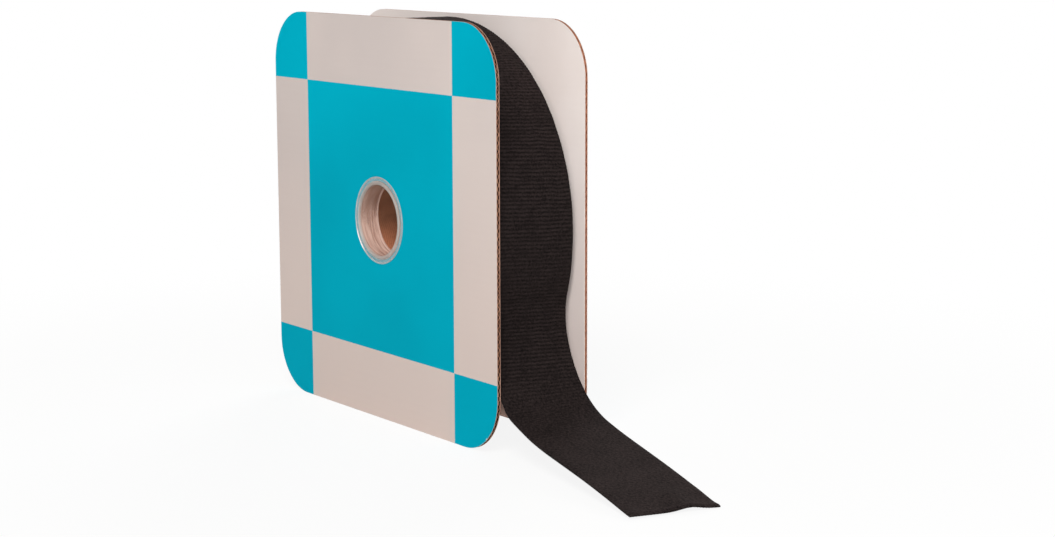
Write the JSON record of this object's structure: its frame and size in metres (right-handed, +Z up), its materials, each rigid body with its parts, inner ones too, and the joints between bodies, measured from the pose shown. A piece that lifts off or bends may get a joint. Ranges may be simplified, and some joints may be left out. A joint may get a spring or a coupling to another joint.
{
  "type": "hook and loop tape roll",
  "caption": "Reel of hook and loop tape wound on a paper core between square corrugated board flanges, with plastic bushings and its free end run out.",
  "frame": {"origin": "on the reel's axis, halfway between the flanges' inner faces, in the middle of the bore", "axes": "+Y along the axis from the front flange to the rear one, +Z up from the edge that the reel stands on, +X towards the side where the tape runs out"},
  "size_m": [0.2873, 0.0603, 0.1778],
  "materials": {
    "printed_board": "teal print on coated white liner",
    "white_board": "uncoated white liner",
    "fluting": "raw kraft",
    "core_paper": "raw kraft",
    "bushing_plastic": "translucent natural plastic",
    "strip_film": "adhesive strip",
    "loop_web": "black napped loops",
    "hook_web": "black moulded hooks"
  },
  "bodies": {
    "spool": {"core_inner_ply": "core_paper", "core_outer_ply": "core_paper", "front_bushing": "bushing_plastic", "rear_bushing": "bushing_plastic", "start_strip": "strip_film", "tape_inner_turns": "loop_web", "outer_turns_hook_web": "hook_web", "outer_turns_loop_web": "loop_web"},
    "front_flange": {"front_inner_liner": "white_board", "front_fluted_medium": "fluting", "front_outer_liner": "printed_board"},
    "rear_flange": {"rear_inner_liner": "white_board", "rear_fluted_medium": "fluting", "rear_outer_liner": "printed_board"},
    "tail": {"tail_hook_web": "hook_web", "tail_loop_web": "loop_web"}
  },
  "joints": [
    {"name": "front_flange_turn", "type": "hinge", "parent": "spool", "child": "front_flange", "pos_m": [0, -0.02249, 0], "axis": [0, 1, 0], "continuous": true},
    {"name": "rear_flange_turn", "type": "hinge", "parent": "spool", "child": "rear_flange", "pos_m": [0, 0.02249, 0], "axis": [0, 1, 0], "continuous": true},
    {"name": "tail_lift", "type": "hinge", "parent": "spool", "child": "tail", "pos_m": [0.08148, -0.0003, -0.02491], "axis": [0, -1, 0], "range_deg": [0, 60]}
  ]
}
